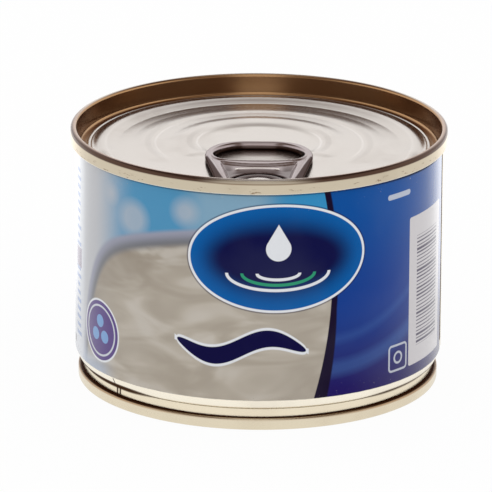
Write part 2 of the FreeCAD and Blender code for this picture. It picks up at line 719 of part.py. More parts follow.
for item in doc.Objects:
    if "Invalid" in item.State or "Error" in item.State:
        raise SystemExit(f"{item.Label} failed: {item.State}")
for body, last_feature in pieces:
    shape = body.Shape
    if shape.isNull() or not shape.isValid() or len(shape.Solids) != 1:
        raise SystemExit(f"{body.Label} isn't one valid solid")

os.makedirs("parts", exist_ok=True)
for body, last_feature in pieces:
    box = body.Shape.optimalBoundingBox()
    body.Shape.exportStep(f"parts/{body.Label}.step")
    print(f"{body.Label}: {box.XLength:.2f} x {box.YLength:.2f} x {box.ZLength:.2f} mm, "
          f"z {box.ZMin:.2f} to {box.ZMax:.2f}, {body.Shape.Volume / 1000:.2f} ml")
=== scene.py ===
import json
import math

import bmesh
import bpy
from mathutils import Matrix, Vector

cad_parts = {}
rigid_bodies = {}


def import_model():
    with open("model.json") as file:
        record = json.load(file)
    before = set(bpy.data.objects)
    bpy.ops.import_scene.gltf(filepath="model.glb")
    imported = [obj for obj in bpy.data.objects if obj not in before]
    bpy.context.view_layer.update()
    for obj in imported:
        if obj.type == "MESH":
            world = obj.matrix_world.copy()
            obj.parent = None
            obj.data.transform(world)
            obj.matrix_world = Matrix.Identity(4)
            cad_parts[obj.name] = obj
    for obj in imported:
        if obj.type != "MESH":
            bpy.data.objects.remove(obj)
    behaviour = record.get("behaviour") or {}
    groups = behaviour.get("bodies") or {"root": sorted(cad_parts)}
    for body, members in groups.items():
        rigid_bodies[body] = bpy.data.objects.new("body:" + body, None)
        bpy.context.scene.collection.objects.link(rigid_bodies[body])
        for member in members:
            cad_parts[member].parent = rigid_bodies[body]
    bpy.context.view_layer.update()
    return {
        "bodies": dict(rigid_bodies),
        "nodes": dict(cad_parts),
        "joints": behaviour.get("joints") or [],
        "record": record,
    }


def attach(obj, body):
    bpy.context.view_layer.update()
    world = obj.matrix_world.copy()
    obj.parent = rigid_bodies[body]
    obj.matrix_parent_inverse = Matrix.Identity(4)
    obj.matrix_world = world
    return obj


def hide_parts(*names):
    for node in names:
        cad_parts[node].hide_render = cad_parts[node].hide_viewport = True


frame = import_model()
print("frame loaded:", ", ".join(frame["nodes"]))

mm = 0.001
wallRadius = 36.65  # outside of the can wall, mm
wallTop = 48.84  # foot of the top seam
neckTop = 6.35  # where the wall draws in and the print ends
weldTurn = 89.0  # side weld, degrees from the front
aroundStep = wallRadius * math.pi / 180  # mm along the wall for one degree
inDegrees = 57.2958  # from radians


# node trees: sockets as plain values
class Wire:  # one output socket; arithmetic on it adds Math nodes
    def __init__(self, look, socket):
        self.look = look
        self.socket = socket

    def math(self, operation, *values):
        return self.look.add("ShaderNodeMath", {"operation": operation}, dict(enumerate(values)))

    def __add__(self, other):
        return self.math("ADD", self, other)

    def __radd__(self, other):
        return self.math("ADD", other, self)

    def __sub__(self, other):
        return self.math("SUBTRACT", self, other)

    def __rsub__(self, other):
        return self.math("SUBTRACT", other, self)

    def __mul__(self, other):
        return self.math("MULTIPLY", self, other)

    def __rmul__(self, other):
        return self.math("MULTIPLY", other, self)

    def __truediv__(self, other):
        return self.math("DIVIDE", self, other)

    def __rtruediv__(self, other):
        return self.math("DIVIDE", other, self)

    def __pow__(self, other):
        return self.math("POWER", self, other)

    def __abs__(self):
        return self.math("ABSOLUTE", self)

    def __gt__(self, other):
        return self.math("GREATER_THAN", self, other)

    def __lt__(self, other):
        return self.math("LESS_THAN", self, other)

    def root(self):
        return self.math("SQRT", self)

    def sine(self):
        return self.math("SINE", self)

    def floor(self):
        return self.math("FLOOR", self)

    def wrap(self, low, high):
        return self.math("WRAP", self, high, low)

    def larger(self, other):
        return self.math("MAXIMUM", self, other)

    def smaller(self, other):
        return self.math("MINIMUM", self, other)

    def step(self, low, high, start=0.0, end=1.0):  # eased from start to end between low and high
        return self.look.add("ShaderNodeMapRange", {"interpolation_type": "SMOOTHSTEP"},
                             {"Value": self, "From Min": low, "From Max": high,
                              "To Min": start, "To Max": end})

    def between(self, rise, fall):  # 1 from the end of rise to the start of fall
        return self.step(*rise) * (1 - self.step(*fall))

    def inside(self, soft=0.12):  # 1 where a signed distance is below zero
        return self.look.add("ShaderNodeMath", {"operation": "MULTIPLY_ADD", "use_clamp": True},
                             {0: self, 1: -1.0 / soft, 2: 0.5})


class Look:  # one node tree, of a material or of the world
    def __init__(self, owner):
        self.owner = owner
        owner.use_nodes = True
        self.tree = owner.node_tree
        self.tree.nodes.clear()

    def add(self, kind, settings=None, inputs=None, output=0):
        node = self.tree.nodes.new(kind)
        for name, value in (settings or {}).items():
            setattr(node, name, value)
        for key, value in (inputs or {}).items():
            self.feed(self.pick(node.inputs, key), value)
        return Wire(self, self.pick(node.outputs, output)) if node.outputs else None

    def pick(self, sockets, key):
        if isinstance(key, int):
            return sockets[key]
        return [socket for socket in sockets if socket.name == key and socket.enabled][0]

    def feed(self, socket, value):
        if isinstance(value, Wire):
            self.tree.links.new(value.socket, socket)
        elif isinstance(value, (tuple, list)) and len(value) == 3 and socket.type == "RGBA":
            socket.default_value = (*value, 1.0)
        else:
            socket.default_value = value

    def blend(self, under, over, mask):
        return self.add("ShaderNodeMix", {"data_type": "RGBA"},
                        {"Factor": mask, "A": under, "B": over}, "Result")

    def place(self):  # object coordinates in mm
        spot = self.add("ShaderNodeTexCoord", output="Object")
        return self.vector("SCALE", spot, Scale=1000.0)

    def vector(self, operation, *values, **named):
        inputs = {**dict(enumerate(values)), **named}
        return self.add("ShaderNodeVectorMath", {"operation": operation}, inputs, "Vector")

    def split(self, vector):
        node = self.add("ShaderNodeSeparateXYZ", inputs={0: vector}).socket.node
        return [Wire(self, socket) for socket in node.outputs]

    def join(self, x, y, z):
        return self.add("ShaderNodeCombineXYZ", inputs={0: x, 1: y, 2: z})

    def noise(self, spot, scale, detail=3.0, roughness=0.5, distortion=0.0):
        return self.add("ShaderNodeTexNoise", {"noise_dimensions": "3D"},
                        {"Vector": spot, "Scale": scale, "Detail": detail,
                         "Roughness": roughness, "Distortion": distortion}, 0)

    def bump(self, height, distance):  # distance in mm
        return self.add("ShaderNodeBump",
                        inputs={"Height": height, "Distance": distance * mm, "Strength": 1.0})

    def finish(self, dark=None, ink=None, **inputs):  # dark marks where a flat colour, a painted shade, replaces the finish; ink is that colour
        shader = self.add("ShaderNodeBsdfPrincipled",
                          inputs={name.replace("_", " "): value for name, value in inputs.items()})
        if dark is not None:
            flat = self.add("ShaderNodeBsdfDiffuse", inputs={"Color": ink})
            shader = self.add("ShaderNodeMixShader", inputs={0: dark, 1: shader, 2: flat})
        self.add("ShaderNodeOutputMaterial", inputs={"Surface": shader})
        return self.owner


def newLook(name):
    return Look(bpy.data.materials.new(name))


def turnOf(x, y):  # degrees from the front, towards +X
    return x.math("ARCTAN2", x, 0 - y) * inDegrees


def radiusOf(x, y):
    return (x * x + y * y).root()


def tone(*parts):  # a colour as a screen shows it, 0 to 255
    shares = [part / 255.0 for part in parts]
    return tuple(share / 12.92 if share <= 0.04045 else ((share + 0.055) / 1.055) ** 2.4 for share in shares)


# mesh helpers
def roundedPath(corners, arcSteps=8, longest=1.6):  # corners are (radius, height, rounding)
    path = []
    last = len(corners) - 1
    for index, (across, along, rounding) in enumerate(corners):
        here = Vector((across, along))
        if rounding <= 0 or index in (0, last):
            path.append(here)
            continue
        back = Vector(corners[index - 1][:2]) - here
        ahead = Vector(corners[index + 1][:2]) - here
        turn = back.angle(ahead)
        reach = rounding / math.tan(turn / 2)
        start = here + back.normalized() * reach
        end = here + ahead.normalized() * reach
        middle = here + (back.normalized() + ahead.normalized()).normalized() * (
            rounding / math.sin(turn / 2))
        first = start - middle
        sweep = first.angle_signed(end - middle)
        steps = max(3, int(arcSteps * abs(sweep) / 1.57) + 1)
        for step in range(steps + 1):
            swing = Matrix.Rotation(-sweep * step / steps, 2)
            path.append(middle + swing @ first)
    spaced = [path[0]]
    for spot in path[1:]:
        gap = (spot - spaced[-1]).length
        if gap < 1e-5:
            continue
        pieces = max(1, math.ceil(gap / longest))
        start = spaced[-1]
        if pieces > 1:  # short runs beside each arc hold its shading
            edge = min(0.12 / gap, 0.25)
            shares = [edge] + [edge + (1 - 2 * edge) * n / pieces for n in range(1, pieces)] + [1 - edge]
            spaced.extend(start.lerp(spot, share) for share in shares)
        spaced.append(spot)
    return [(spot.x, spot.y) for spot in spaced]


def evenTurns(steps, extra=()):
    turns = {round(360.0 * n / steps, 4) for n in range(steps)}
    turns.update(round(value % 360.0, 4) for value in extra)
    return [math.radians(value) for value in sorted(turns)]


def lathe(name, path, turns, centre=(0.0, 0.0), shape=None):  # the path starts and ends on the axis
    mesh = bmesh.new()

    def corner(index, x, y, z):
        if shape is not None:
            x, y, z = shape(index, x, y, z)
        return mesh.verts.new(((x + centre[0]) * mm, (y + centre[1]) * mm, z * mm))

    rings = []
    for index, (across, along) in enumerate(path):
        if across < 1e-6:
            rings.append([corner(index, 0.0, 0.0, along)])
        else:
            rings.append([corner(index, across * math.sin(turn), -across * math.cos(turn), along)
                          for turn in turns])
    count = len(turns)
    for one, other in zip(rings, rings[1:]):
        for n in range(count):
            m = (n + 1) % count
            if len(one) == 1:
                mesh.faces.new((one[0], other[m], other[n]))
            elif len(other) == 1:
                mesh.faces.new((one[n], one[m], other[0]))
            else:
                mesh.faces.new((one[n], one[m], other[m], other[n]))
    bmesh.ops.recalc_face_normals(mesh, faces=mesh.faces)
    return asPiece(name, mesh)


def asPiece(name, mesh):
    data = bpy.data.meshes.new(name)
    mesh.to_mesh(data)
    mesh.free()
    piece = bpy.data.objects.new(name, data)
    bpy.context.scene.collection.objects.link(piece)
    return smoothed(piece)


def smoothed(piece):
    piece.data.polygons.foreach_set("use_smooth", [True] * len(piece.data.polygons))
    return piece


def dress(piece, material, node):
    piece.data.materials.clear()
    piece.data.materials.append(material)
    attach(piece, "root")
    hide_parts(node)


def ease(value, low, high):
    share = min(1.0, max(0.0, (value - low) / (high - low)))
    return share * share * (3 - 2 * share)


# camera
view = {
    "place": (0.0, -1411.756, 473.886),  # mm
    "down": 17.603, "turned": 0.096, "raised": 0.026, "rolled": -0.391,  # degrees
    "lens": 540.68,
}


def makeCamera():
    lens = bpy.data.cameras.new("camera")
    lens.lens = view["lens"]
    lens.sensor_width = 36.0
    lens.clip_start = 0.05
    lens.clip_end = 30.0
    camera = bpy.data.objects.new("camera", lens)
    bpy.context.scene.collection.objects.link(camera)
    camera.matrix_world = Matrix.Translation(Vector(view["place"]) * mm)
    for angle, axis in ((90.0 - view["down"], "X"), (view["turned"], "Y"), (view["raised"], "X"),
                        (-view["rolled"], "Z")):  # each about the camera's own axis
        camera.matrix_world = camera.matrix_world @ Matrix.Rotation(math.radians(angle), 4, axis)
    bpy.context.scene.camera = camera
    bpy.context.scene.view_settings.view_transform = "Standard"


makeCamera()
print("camera placed")


# studio: white room, a dim side where the camera stands, white floor
studio = {
    "ambient": 0.98,
    "low": (22.0, 54.0), "high": (59.0, 73.0),  # degrees up: bright, dim ring, bright
    "ring": 0.13, "zenith": 0.5, "front": 0.36, "frontTurn": (38.0, 78.0),
    "lamp": 0.95, "lampSide": (20.0, 32.0),  # soft box above the camera
    "lampRise": (43.0, 53.0), "lampFall": (67.0, 77.0),
    "inner": 0.096, "innerGlow": 0.5, "glowTurn": (8.0, 22.0),  # light that reaches the recess
    "innerBack": 0.9, "innerBackTurn": (124.0, 176.0),
    "warm": (1.0, 0.56, 0.34), "warmBelow": 0.55,
    "floorHalf": 3.0, "floorTone": 0.9, "floorHold": 0.95,  # metres across, half
    "near": 1.0, "ahead": 0.86, "beside": 1.8,  # the floor as metal sees it
    "besideTurn": (112.0, 150.0), "away": (42.0, 90.0),
}


def rayKinds(look):
    outputs = look.add("ShaderNodeLightPath").socket.node.outputs
    names = ("Is Camera Ray", "Is Glossy Ray", "Is Transmission Ray", "Glossy Depth")
    return [Wire(look, outputs[name]) for name in names]


def makeWorld():
    world = bpy.data.worlds.new("studio")
    bpy.context.scene.world = world
    look = Look(world)
    aim = look.add("ShaderNodeTexCoord", output="Generated")
    x, y, z = look.split(look.vector("NORMALIZE", aim))
    height = z.math("ARCSINE", z) * inDegrees
    side = abs(turnOf(x, y))
    low = 1 - height.step(*studio["low"])
    high = height.step(*studio["high"])
    ahead = 1 - side.step(*studio["frontTurn"])
    glow = 1 - side.step(*studio["glowTurn"])
    bottom = 1 - ahead * (1 - glow) * (1 - studio["front"])
    room = studio["ring"] + low * (bottom - studio["ring"]) + high * (studio["zenith"] - studio["ring"])
    lamp = (1 - side.step(*studio["lampSide"])) * height.between(studio["lampRise"], studio["lampFall"])
    room = room * (1 - lamp) + lamp * studio["lamp"]
    back = side.step(*studio["innerBackTurn"]) * studio["innerBack"]
    inner = studio["inner"] + glow * (studio["innerGlow"] - studio["inner"]) + back
    eye, glossy, clear, depth = rayKinds(look)
    again = depth > 1.5  # light that has already met metal once
    seen = room * (1 - again) + inner * again
    level = (1 - glossy) * studio["ambient"] + glossy * seen
    white = eye.larger(clear)
    level = level * (1 - white) + white
    tint = look.blend(studio["warm"], (1.0, 1.0, 1.0), level.step(0.0, studio["warmBelow"]))
    sky = look.add("ShaderNodeBackground", inputs={"Color": tint, "Strength": level})
    look.add("ShaderNodeOutputWorld", inputs={"Surface": sky})


def makeFloor():
    mesh = bmesh.new()
    half = studio["floorHalf"]
    for x, y in ((-1, -1), (1, -1), (1, 1), (-1, 1)):
        mesh.verts.new((x * half, y * half, 0.0))
    mesh.faces.new(list(mesh.verts))
    floor = asPiece("floor", mesh)
    look = newLook("floorPaper")
    eye, glossy, clear = rayKinds(look)[:3]
    x, y, z = look.split(look.place())
    away = radiusOf(x, y).step(*studio["away"])
    far = abs(turnOf(x, y)).step(*studio["besideTurn"], studio["ahead"], studio["beside"])
    spread = studio["near"] * (1 - away) + far * away
    level = (1 - glossy) + glossy * spread
    tint = studio["floorTone"]
    paper = look.add("ShaderNodeBsdfDiffuse", inputs={"Color": (tint, tint, tint)})
    white = look.add("ShaderNodeEmission", inputs={"Color": (1.0, 1.0, 1.0), "Strength": level})
    held = eye.larger(glossy).larger(clear) * studio["floorHold"]
    both = look.add("ShaderNodeMixShader", inputs={0: held, 1: paper, 2: white})
    look.add("ShaderNodeOutputMaterial", inputs={"Surface": both})
    floor.data.materials.append(look.owner)


makeWorld()
makeFloor()
print("studio ready")


# finishes: bright tinplate
tinplate = {
    # the shoulder tone is a painted highlight, the chuck tone is painted shade in the recess, and the soil
    # tone serves faint real stains and painted shade
    "neck": tone(240, 228, 203), "shoulder": tone(252, 244, 226), "seam": tone(222, 209, 185),
    "lid": tone(221, 213, 206), "chuck": tone(186, 145, 104), "soilAndShade": tone(120, 84, 52),
    "foot": tone(227, 215, 190), "roughness": 0.2, "footRoughness": 0.26,
    "grain": (0.5, 9.0, 9.0), "clouds": 0.09,
}

lidTin = {  # pairs are the start and end of a mask, mm or degrees
    "chuckFrom": (34.3, 35.2), "chuckTo": (36.5, 36.9), "outside": (37.35, 37.55),
    "speckShape": (0.5, 0.5, 2.6), "speckCut": (0.59, 0.67), "speckTop": (49.7, 50.5),
    "edge": tone(252, 246, 232), "edgeTop": (48.95, 49.2), "edgeFrom": (37.0, 37.2),
    "middle": (8.0, 20.0), "rimLine": 51.05, "rimHalf": 0.1,
    "crownTop": (50.98, 51.18), "crownFrom": (36.6, 36.8), "crownEnd": (92.0, 125.0),
    "crownInner": tone(196, 168, 150), "crownOuter": tone(66, 26, 10), "crownTurn": (36.85, 37.5),
    "sheenFrom": (50.0, 74.0), "sheenTo": (112.0, 138.0),
    "sheens": ((32.1, 0.08), (22.2, 0.13), (13.9, 0.19)),  # radius and strength of a painted shade and a painted highlight, one beside each bead
    "beadShade": tone(150, 138, 130), "beadShadeHalf": 0.6,
    "glint": tone(250, 244, 240), "glintIn": 1.5, "glintHalf": 0.2,
}

tabTin = {
    # low is painted shade on the tab's lower part, shade is painted shade on the outer flanks of the legs
    "colours": (tone(190, 178, 180), tone(162, 144, 140)), "low": tone(52, 24, 12), "lowTo": (48.4, 49.4),
    "shade": tone(52, 26, 16), "shadeFrom": (13.2, 14.4), "shadeTo": (30.5, 31.5),
    "legHalf": 10.2, "legAt": -14.0, "legSlope": 0.225, "legEase": (-0.15, 0.2),
    "glint": tone(252, 242, 234), "glintX": -0.3, "glintY": -20.2, "glintBend": 0.03,
    "glintLong": 4.2, "glintHalf": 0.3, "endsOut": 4.0, "endsY": -20.85, "endsRadius": 0.35,
}

footTin = {
    # shoulderFrom starts the painted highlight on the shoulder; fold, lip, crevice and gap are painted
    # shade, and ink is the flat colour of that painted shade
    "neckFrom": (2.3, 2.6), "shoulderFrom": (4.4, 5.0),
    "flank": (6.0, 44.0), "side": (24.0, 48.0), "sideEnd": (112.0, 148.0), "rightShare": 0.28,
    "fold": tone(84, 50, 20), "foldLevel": 4.42, "foldHalf": 0.62,
    "lip": tone(158, 112, 66), "lipFrom": (1.8, 2.15), "lipTo": (2.5, 2.7),
    "crevice": tone(40, 16, 4), "creviceLevel": 2.47, "creviceHalf": 0.06,
    "gap": tone(38, 12, 2), "gapRadius": 35.6, "gapFrom": (2.05, 2.3), "ink": tone(54, 24, 9),
}


def tinLook(name):  # a look with its place in mm, fine rolling lines and broad, faint clouds
    look = newLook(name)
    spot = look.place()
    lines = look.noise(look.vector("MULTIPLY", spot, tinplate["grain"]), 1.0)
    clouds = look.noise(spot, tinplate["clouds"], 4.0)
    return look, spot, look.split(spot), lines, clouds


def stained(look, colour, lines, clouds, fine, broad):
    shade = ((clouds - 0.5) * broad + (lines - 0.5) * fine).larger(0.0)
    return look.blend(colour, tinplate["soilAndShade"], shade)


def makeLidLook():
    look, spot, (x, y, z), lines, clouds = tinLook("lidTinplate")
    radius = radiusOf(x, y)
    turn = abs(turnOf(x, y))
    outside = radius.step(*lidTin["outside"])
    # chuck wall: a browner tone, painted shade in the recess
    chuck = radius.between(lidTin["chuckFrom"], lidTin["chuckTo"])
    colour = look.blend(tinplate["lid"], tinplate["chuck"], chuck)
    colour = look.blend(colour, tinplate["seam"], outside)
    colour = stained(look, colour, lines, clouds, 0.12, 0.5)

    rub = look.noise(look.vector("MULTIPLY", spot, lidTin["speckShape"]), 1.0, 4.0, 0.6)
    low = (1 - z.step(*lidTin["speckTop"])) * outside  # rubbed specks along the foot of the seam
    colour = look.blend(colour, tinplate["soilAndShade"], rub.step(*lidTin["speckCut"]) * low * 0.75)
    # painted highlight: a pale line along the foot of the seam
    edge = (1 - z.step(*lidTin["edgeTop"])) * radius.step(*lidTin["edgeFrom"])
    colour = look.blend(colour, lidTin["edge"], edge * 0.8)
    middle = 1 - turn.step(*lidTin["middle"])
    # painted shade: a dark line along the seam's outer face, strongest at the front middle
    rim = (abs(z - lidTin["rimLine"]) - lidTin["rimHalf"]).inside(0.2) * outside
    colour = look.blend(colour, tinplate["soilAndShade"], rim * (0.25 + middle * 0.5))
    # painted reflection: the inner crown of the seam darkened from the front round to the sides, darker
    # outward, weaker at the front middle
    crown = z.step(*lidTin["crownTop"]) * radius.step(*lidTin["crownFrom"])
    crown = crown * (1 - turn.step(*lidTin["crownEnd"])) * (0.92 - middle * 0.62)
    crownTone = look.blend(lidTin["crownInner"], lidTin["crownOuter"], radius.step(*lidTin["crownTurn"]))
    colour = look.blend(colour, crownTone, crown)

    flank = turn.between(lidTin["sheenFrom"], lidTin["sheenTo"])
    # painted shade and painted highlight beside each bead, on the flanks only
    for ring, strength in lidTin["sheens"]:
        beadShade = (abs(radius - ring) - lidTin["beadShadeHalf"]).inside(0.5) * flank * strength
        colour = look.blend(colour, lidTin["beadShade"], beadShade)
        glint = (abs(radius - ring + lidTin["glintIn"]) - lidTin["glintHalf"]).inside(0.4)
        colour = look.blend(colour, lidTin["glint"], glint * flank * strength * 2.4)
    rough = tinplate["roughness"] + (clouds - 0.5) * 0.1 + outside * 0.14
    return look.finish(Base_Color=colour, Metallic=1.0, Roughness=rough, Normal=look.bump(lines, 0.0006))


def makeTabLook():
    look, spot, (x, y, z), lines, clouds = tinLook("tabSteel")
    colour = look.blend(*tabTin["colours"], clouds)
    # painted shade on the tab's lower part, darkest next to the panel
    colour = look.blend(tabTin["low"], colour, z.step(*tabTin["lowTo"]))
    edge = tabTin["legHalf"] + (y - tabTin["legAt"]) * tabTin["legSlope"]
    shade = (abs(x) - edge).step(*tabTin["legEase"])  # the outer flanks of the legs fall away into shade
    shade = shade * (0 - y).between(tabTin["shadeFrom"], tabTin["shadeTo"]) * 0.86
    across = abs(x - tabTin["glintX"])
    streak = abs(y + x * x * tabTin["glintBend"] - tabTin["glintY"]) - tabTin["glintHalf"]
    streak = streak.larger(across - tabTin["glintLong"]).inside(0.3) * 0.6
    ends = ((across - tabTin["endsOut"]) ** 2 + (y - tabTin["endsY"]) ** 2).root() - tabTin["endsRadius"]
    colour = look.blend(colour, tabTin["glint"], streak.larger(ends.inside(0.2)))
    rough = tinplate["roughness"] + (clouds - 0.5) * 0.12
    return look.finish(Base_Color=colour, Metallic=1.0, Roughness=rough,
                       Normal=look.bump(look.noise(spot, 2.2, 4.0), 0.002), dark=shade, ink=tabTin["shade"])


def neckColour(look, turn, z, lines, clouds):  # bare necked foot: a painted highlight on the shoulder, painted shade in the fold, along the lip and in the crevice
    colour = look.blend(tinplate["foot"], tinplate["neck"], z.step(*footTin["neckFrom"]))
    colour = look.blend(colour, tinplate["shoulder"], z.step(*footTin["shoulderFrom"]))
    colour = stained(look, colour, lines, clouds, 0.08, 0.4)
    flank = abs(turn).step(*footTin["flank"])
    side = abs(turn).between(footTin["side"], footTin["sideEnd"])
    side = side * (1 - turn.step(0.0, 10.0) * footTin["rightShare"])  # weaker on the right
    # painted shade in the fold, strongest on the sides
    fold = (abs(z - footTin["foldLevel"]) - side * footTin["foldHalf"]).inside(0.3)
    fold = fold * (0.04 + flank * 0.1 + side * 0.8)
    colour = look.blend(colour, footTin["fold"], fold)
    # painted shade along the top of the foot seam, stronger on the flanks
    lip = z.between(footTin["lipFrom"], footTin["lipTo"]) * (0.2 + flank * 0.5)
    colour = look.blend(colour, footTin["lip"], lip)
    # painted shade in the crevice where the neck meets the foot seam
    crevice = (abs(z - footTin["creviceLevel"]) - footTin["creviceHalf"]).inside(0.3) * (0.3 + flank * 0.7)
    colour = look.blend(colour, footTin["crevice"], crevice)
    # also returns where the painted shade of fold and crevice turns to a flat colour
    return colour, fold.larger(crevice) * side * 0.94


def makeFootLook():
    look, spot, (x, y, z), lines, clouds = tinLook("footTinplate")
    colour, shaded = neckColour(look, turnOf(x, y), z, lines, clouds)
    # painted shade in the slit where the foot seam meets the neck
    gap = (footTin["gapRadius"] - radiusOf(x, y)).step(-0.15, 0.15) * z.step(*footTin["gapFrom"])
    colour = look.blend(colour, footTin["gap"], gap * 0.95)
    rough = tinplate["footRoughness"] + (clouds - 0.5) * 0.12
    return look.finish(Base_Color=colour, Metallic=1.0, Roughness=rough, Normal=look.bump(lines, 0.0008),
                       dark=(gap * 0.92).larger(shaded), ink=footTin["ink"])


# finishes: printed wall
art = {
    "top": 49.3, "bareHalf": 4.9,  # top of the print, mm up; bare strip beside the weld, degrees
    "frontMiddle": 2.0, "frontHalf": 82.2,  # the front design, degrees; the back repeats most of it
    "skyPale": tone(186, 187, 191), "sky": tone(78, 144, 184), "skyDeep": tone(52, 140, 192),
    "haze": tone(132, 166, 188), "cream": tone(184, 175, 162), "creamShade": tone(150, 139, 125),
    "creamLight": tone(206, 200, 192), "rim": tone(116, 117, 122), "rimLight": tone(150, 152, 168),
    "panelTop": tone(6, 78, 154), "panelMid": tone(20, 60, 140), "panelLow": tone(32, 16, 92),
    "band": tone(76, 120, 186), "sash": tone(18, 2, 38), "ink": tone(8, 4, 60),
    "white": tone(226, 228, 232), "badgeDeep": tone(6, 8, 66), "badgeEdge": tone(4, 90, 162),
    "leaf": tone(40, 150, 110), "box": tone(206, 202, 204), "bar": tone(56, 44, 76),
    "violet": tone(84, 60, 128), "pale": tone(204, 208, 216), "dots": tone(120, 160, 210),
    "corner": tone(172, 184, 204), "rule": tone(76, 116, 180), "square": tone(112, 92, 124),
    "noteRule": tone(70, 80, 130), "noteMark": tone(60, 50, 60), "knockShade": tone(48, 22, 8),
    # painted shade: under the seam, and a stripe beside the weld
    "underSeam": tone(22, 20, 30), "weldShade": tone(66, 40, 20),
}


def ellipseGap(u, z, centre, halves):  # signed distance, near enough for thin rules
    across = u - centre[0]
    along = z - centre[1]
    near = ((across / halves[0]) ** 2 + (along / halves[1]) ** 2).root()
    steep = ((across / halves[0] ** 2) ** 2 + (along / halves[1] ** 2) ** 2).root()
    return near * (near - 1) / steep.larger(0.001)


def boxGap(u, z, centre, halves, corner=0.0):
    across = abs(u - centre[0]) - (halves[0] - corner)
    along = abs(z - centre[1]) - (halves[1] - corner)
    return radiusOf(across.larger(0.0), along.larger(0.0)) + across.larger(along).smaller(0.0) - corner


def discGap(u, z, centre, radius):
    return ((u - centre[0]) ** 2 + (z - centre[1]) ** 2).root() - radius


field = {
    "skyFrom": (-40.0, -26.0), "hazeFrom": (-17.0, -10.0), "hazeTo": (-1.0, 6.0), "deepFrom": (1.0, 9.0),
    "clouds": (((-14.8, 44.2), 2.4), ((-27.0, 40.8), 3.4), ((-33.4, 44.5), 1.5)),
    "edge": 41.2, "edgeFrom": -8.0, "edgeLong": 36.0, "edgeBend": 9.4, "edgeDrop": 14.8,
    "foldShape": (0.07, 0.17, 1.0), "shadeTo": (1.0, 16.0), "foldShade": (0.36, 0.62),
    "rimTurn": (0.2, 2.6), "rimTo": (2.2, 4.0), "softEdge": (-0.7, 0.5),
    "cornerUp": (6.5, 11.0), "cornerAcross": (-38.0, -31.0), "paleTo": (-47.5, -43.5),
}


def drawField(look, u, z):  # sky above a field of cream with a soft wavy edge
    sky = look.blend(art["skyPale"], art["sky"], u.step(*field["skyFrom"]))
    sky = look.blend(sky, art["haze"], u.between(field["hazeFrom"], field["hazeTo"]) * 0.9)
    sky = look.blend(sky, art["skyDeep"], u.step(*field["deepFrom"]))
    for centre, radius in field["clouds"]:
        sky = look.blend(sky, art["skyPale"], discGap(u, z, centre, radius).inside(2.6) * 0.6)
    left = ((field["edgeFrom"] - u) / field["edgeLong"]).larger(0.0)
    edge = field["edge"] - left ** 1.5 * field["edgeBend"] - left ** 9 * field["edgeDrop"]
    depth = (edge - z) / (1 + left ** 8 * 3.0)  # mm inside the edge
    stretched = look.vector("MULTIPLY", look.join(u, z, 0.0), field["foldShape"])
    folds = look.noise(stretched, 1.0, 2.0, 0.5, 0.8)
    shade = depth.step(*field["shadeTo"]) * 0.55 + folds.step(*field["foldShade"]) * 0.5
    cream = look.blend(art["creamShade"], art["cream"], shade.smaller(1.0))
    cream = look.blend(cream, art["creamLight"], (folds - 0.52).step(0.0, 0.16) * 0.45)
    rim = look.blend(art["rimLight"], art["rim"], depth.step(*field["rimTurn"]))
    cream = look.blend(rim, cream, depth.step(*field["rimTo"]))
    colour = look.blend(sky, cream, depth.step(*field["softEdge"]))
    corner = (1 - z.step(*field["cornerUp"])) * (1 - u.step(*field["cornerAcross"]))
    colour = look.blend(colour, art["corner"], corner * 0.8)
    return look.blend(colour, art["pale"], 1 - u.step(*field["paleTo"]))


panel = {
    "midFrom": (5.0, 26.0), "topFrom": (24.0, 48.0), "bandMiddle": 14.0,
    "bands": ((12.0, 0.012, 1.5, 0.3), (18.0, 0.016, 0.7, 0.2)),  # level, bend, half width, strength
    "sash": 14.95, "sashLevel": 31.1, "sashBend": 0.006, "sashWidth": 1.3, "sashFlare": (24.6, 0.08),
}


def drawPanel(look, colour, u, z):  # a dark sash, then blue with soft sweeping bands
    left = panel["sash"] - (z - panel["sashLevel"]) ** 2 * panel["sashBend"]
    level, flare = panel["sashFlare"]
    right = left + panel["sashWidth"] + (level - z).larger(0.0) * flare
    colour = look.blend(colour, art["sash"], (left - u).inside(0.15))
    blue = look.blend(art["panelLow"], art["panelMid"], z.step(*panel["midFrom"]))
    blue = look.blend(blue, art["panelTop"], z.step(*panel["topFrom"]))
    for level, bend, half, strength in panel["bands"]:
        sweep = level + (u - panel["bandMiddle"]) ** 2 * bend
        blue = look.blend(blue, art["band"], (abs(z - sweep) - half).inside(1.8) * strength)
    return look.blend(colour, blue, (right - u).inside(0.3))


badge = {
    "centre": (4.0, 35.6), "halves": (17.6, 10.6), "shadow": 0.75, "border": 0.5, "glowDeep": 6.5,
    "dropLevel": 37.6, "dropRadius": 2.5, "rippleLevel": 32.6, "rippleHalf": 0.3,
    "ripples": (((4.2, 1.3), "white"), ((7.2, 2.4), "leaf"), ((10.2, 3.5), "white")),
}


def drawBadge(look, colour, u, z):
    middle = badge["centre"][0]
    gap = ellipseGap(u, z, badge["centre"], badge["halves"])
    colour = look.blend(colour, art["ink"], (gap - badge["shadow"]).inside(0.25) * 0.65)
    colour = look.blend(colour, art["white"], (gap - badge["border"]).inside())
    fill = look.blend(art["badgeEdge"], art["badgeDeep"], (0 - gap).step(0.0, badge["glowDeep"]))
    colour = look.blend(colour, fill, gap.inside())
    across = abs(u - middle)
    rise = z - badge["dropLevel"]
    cone = across * 0.87 + rise * 0.5 - badge["dropRadius"]  # the drop is a disc under a 30 degree cone
    ball = discGap(u, z, (middle, badge["dropLevel"]), badge["dropRadius"])
    pointed = rise * 0.87 > across * 0.5
    colour = look.blend(colour, art["white"], (ball + (cone - ball) * pointed).inside())
    for halves, ink in badge["ripples"]:
        ring = abs(ellipseGap(u, z, (middle, badge["rippleLevel"]), halves)) - badge["rippleHalf"]
        colour = look.blend(colour, art[ink], ring.inside() * (z < badge["rippleLevel"]))
    return colour


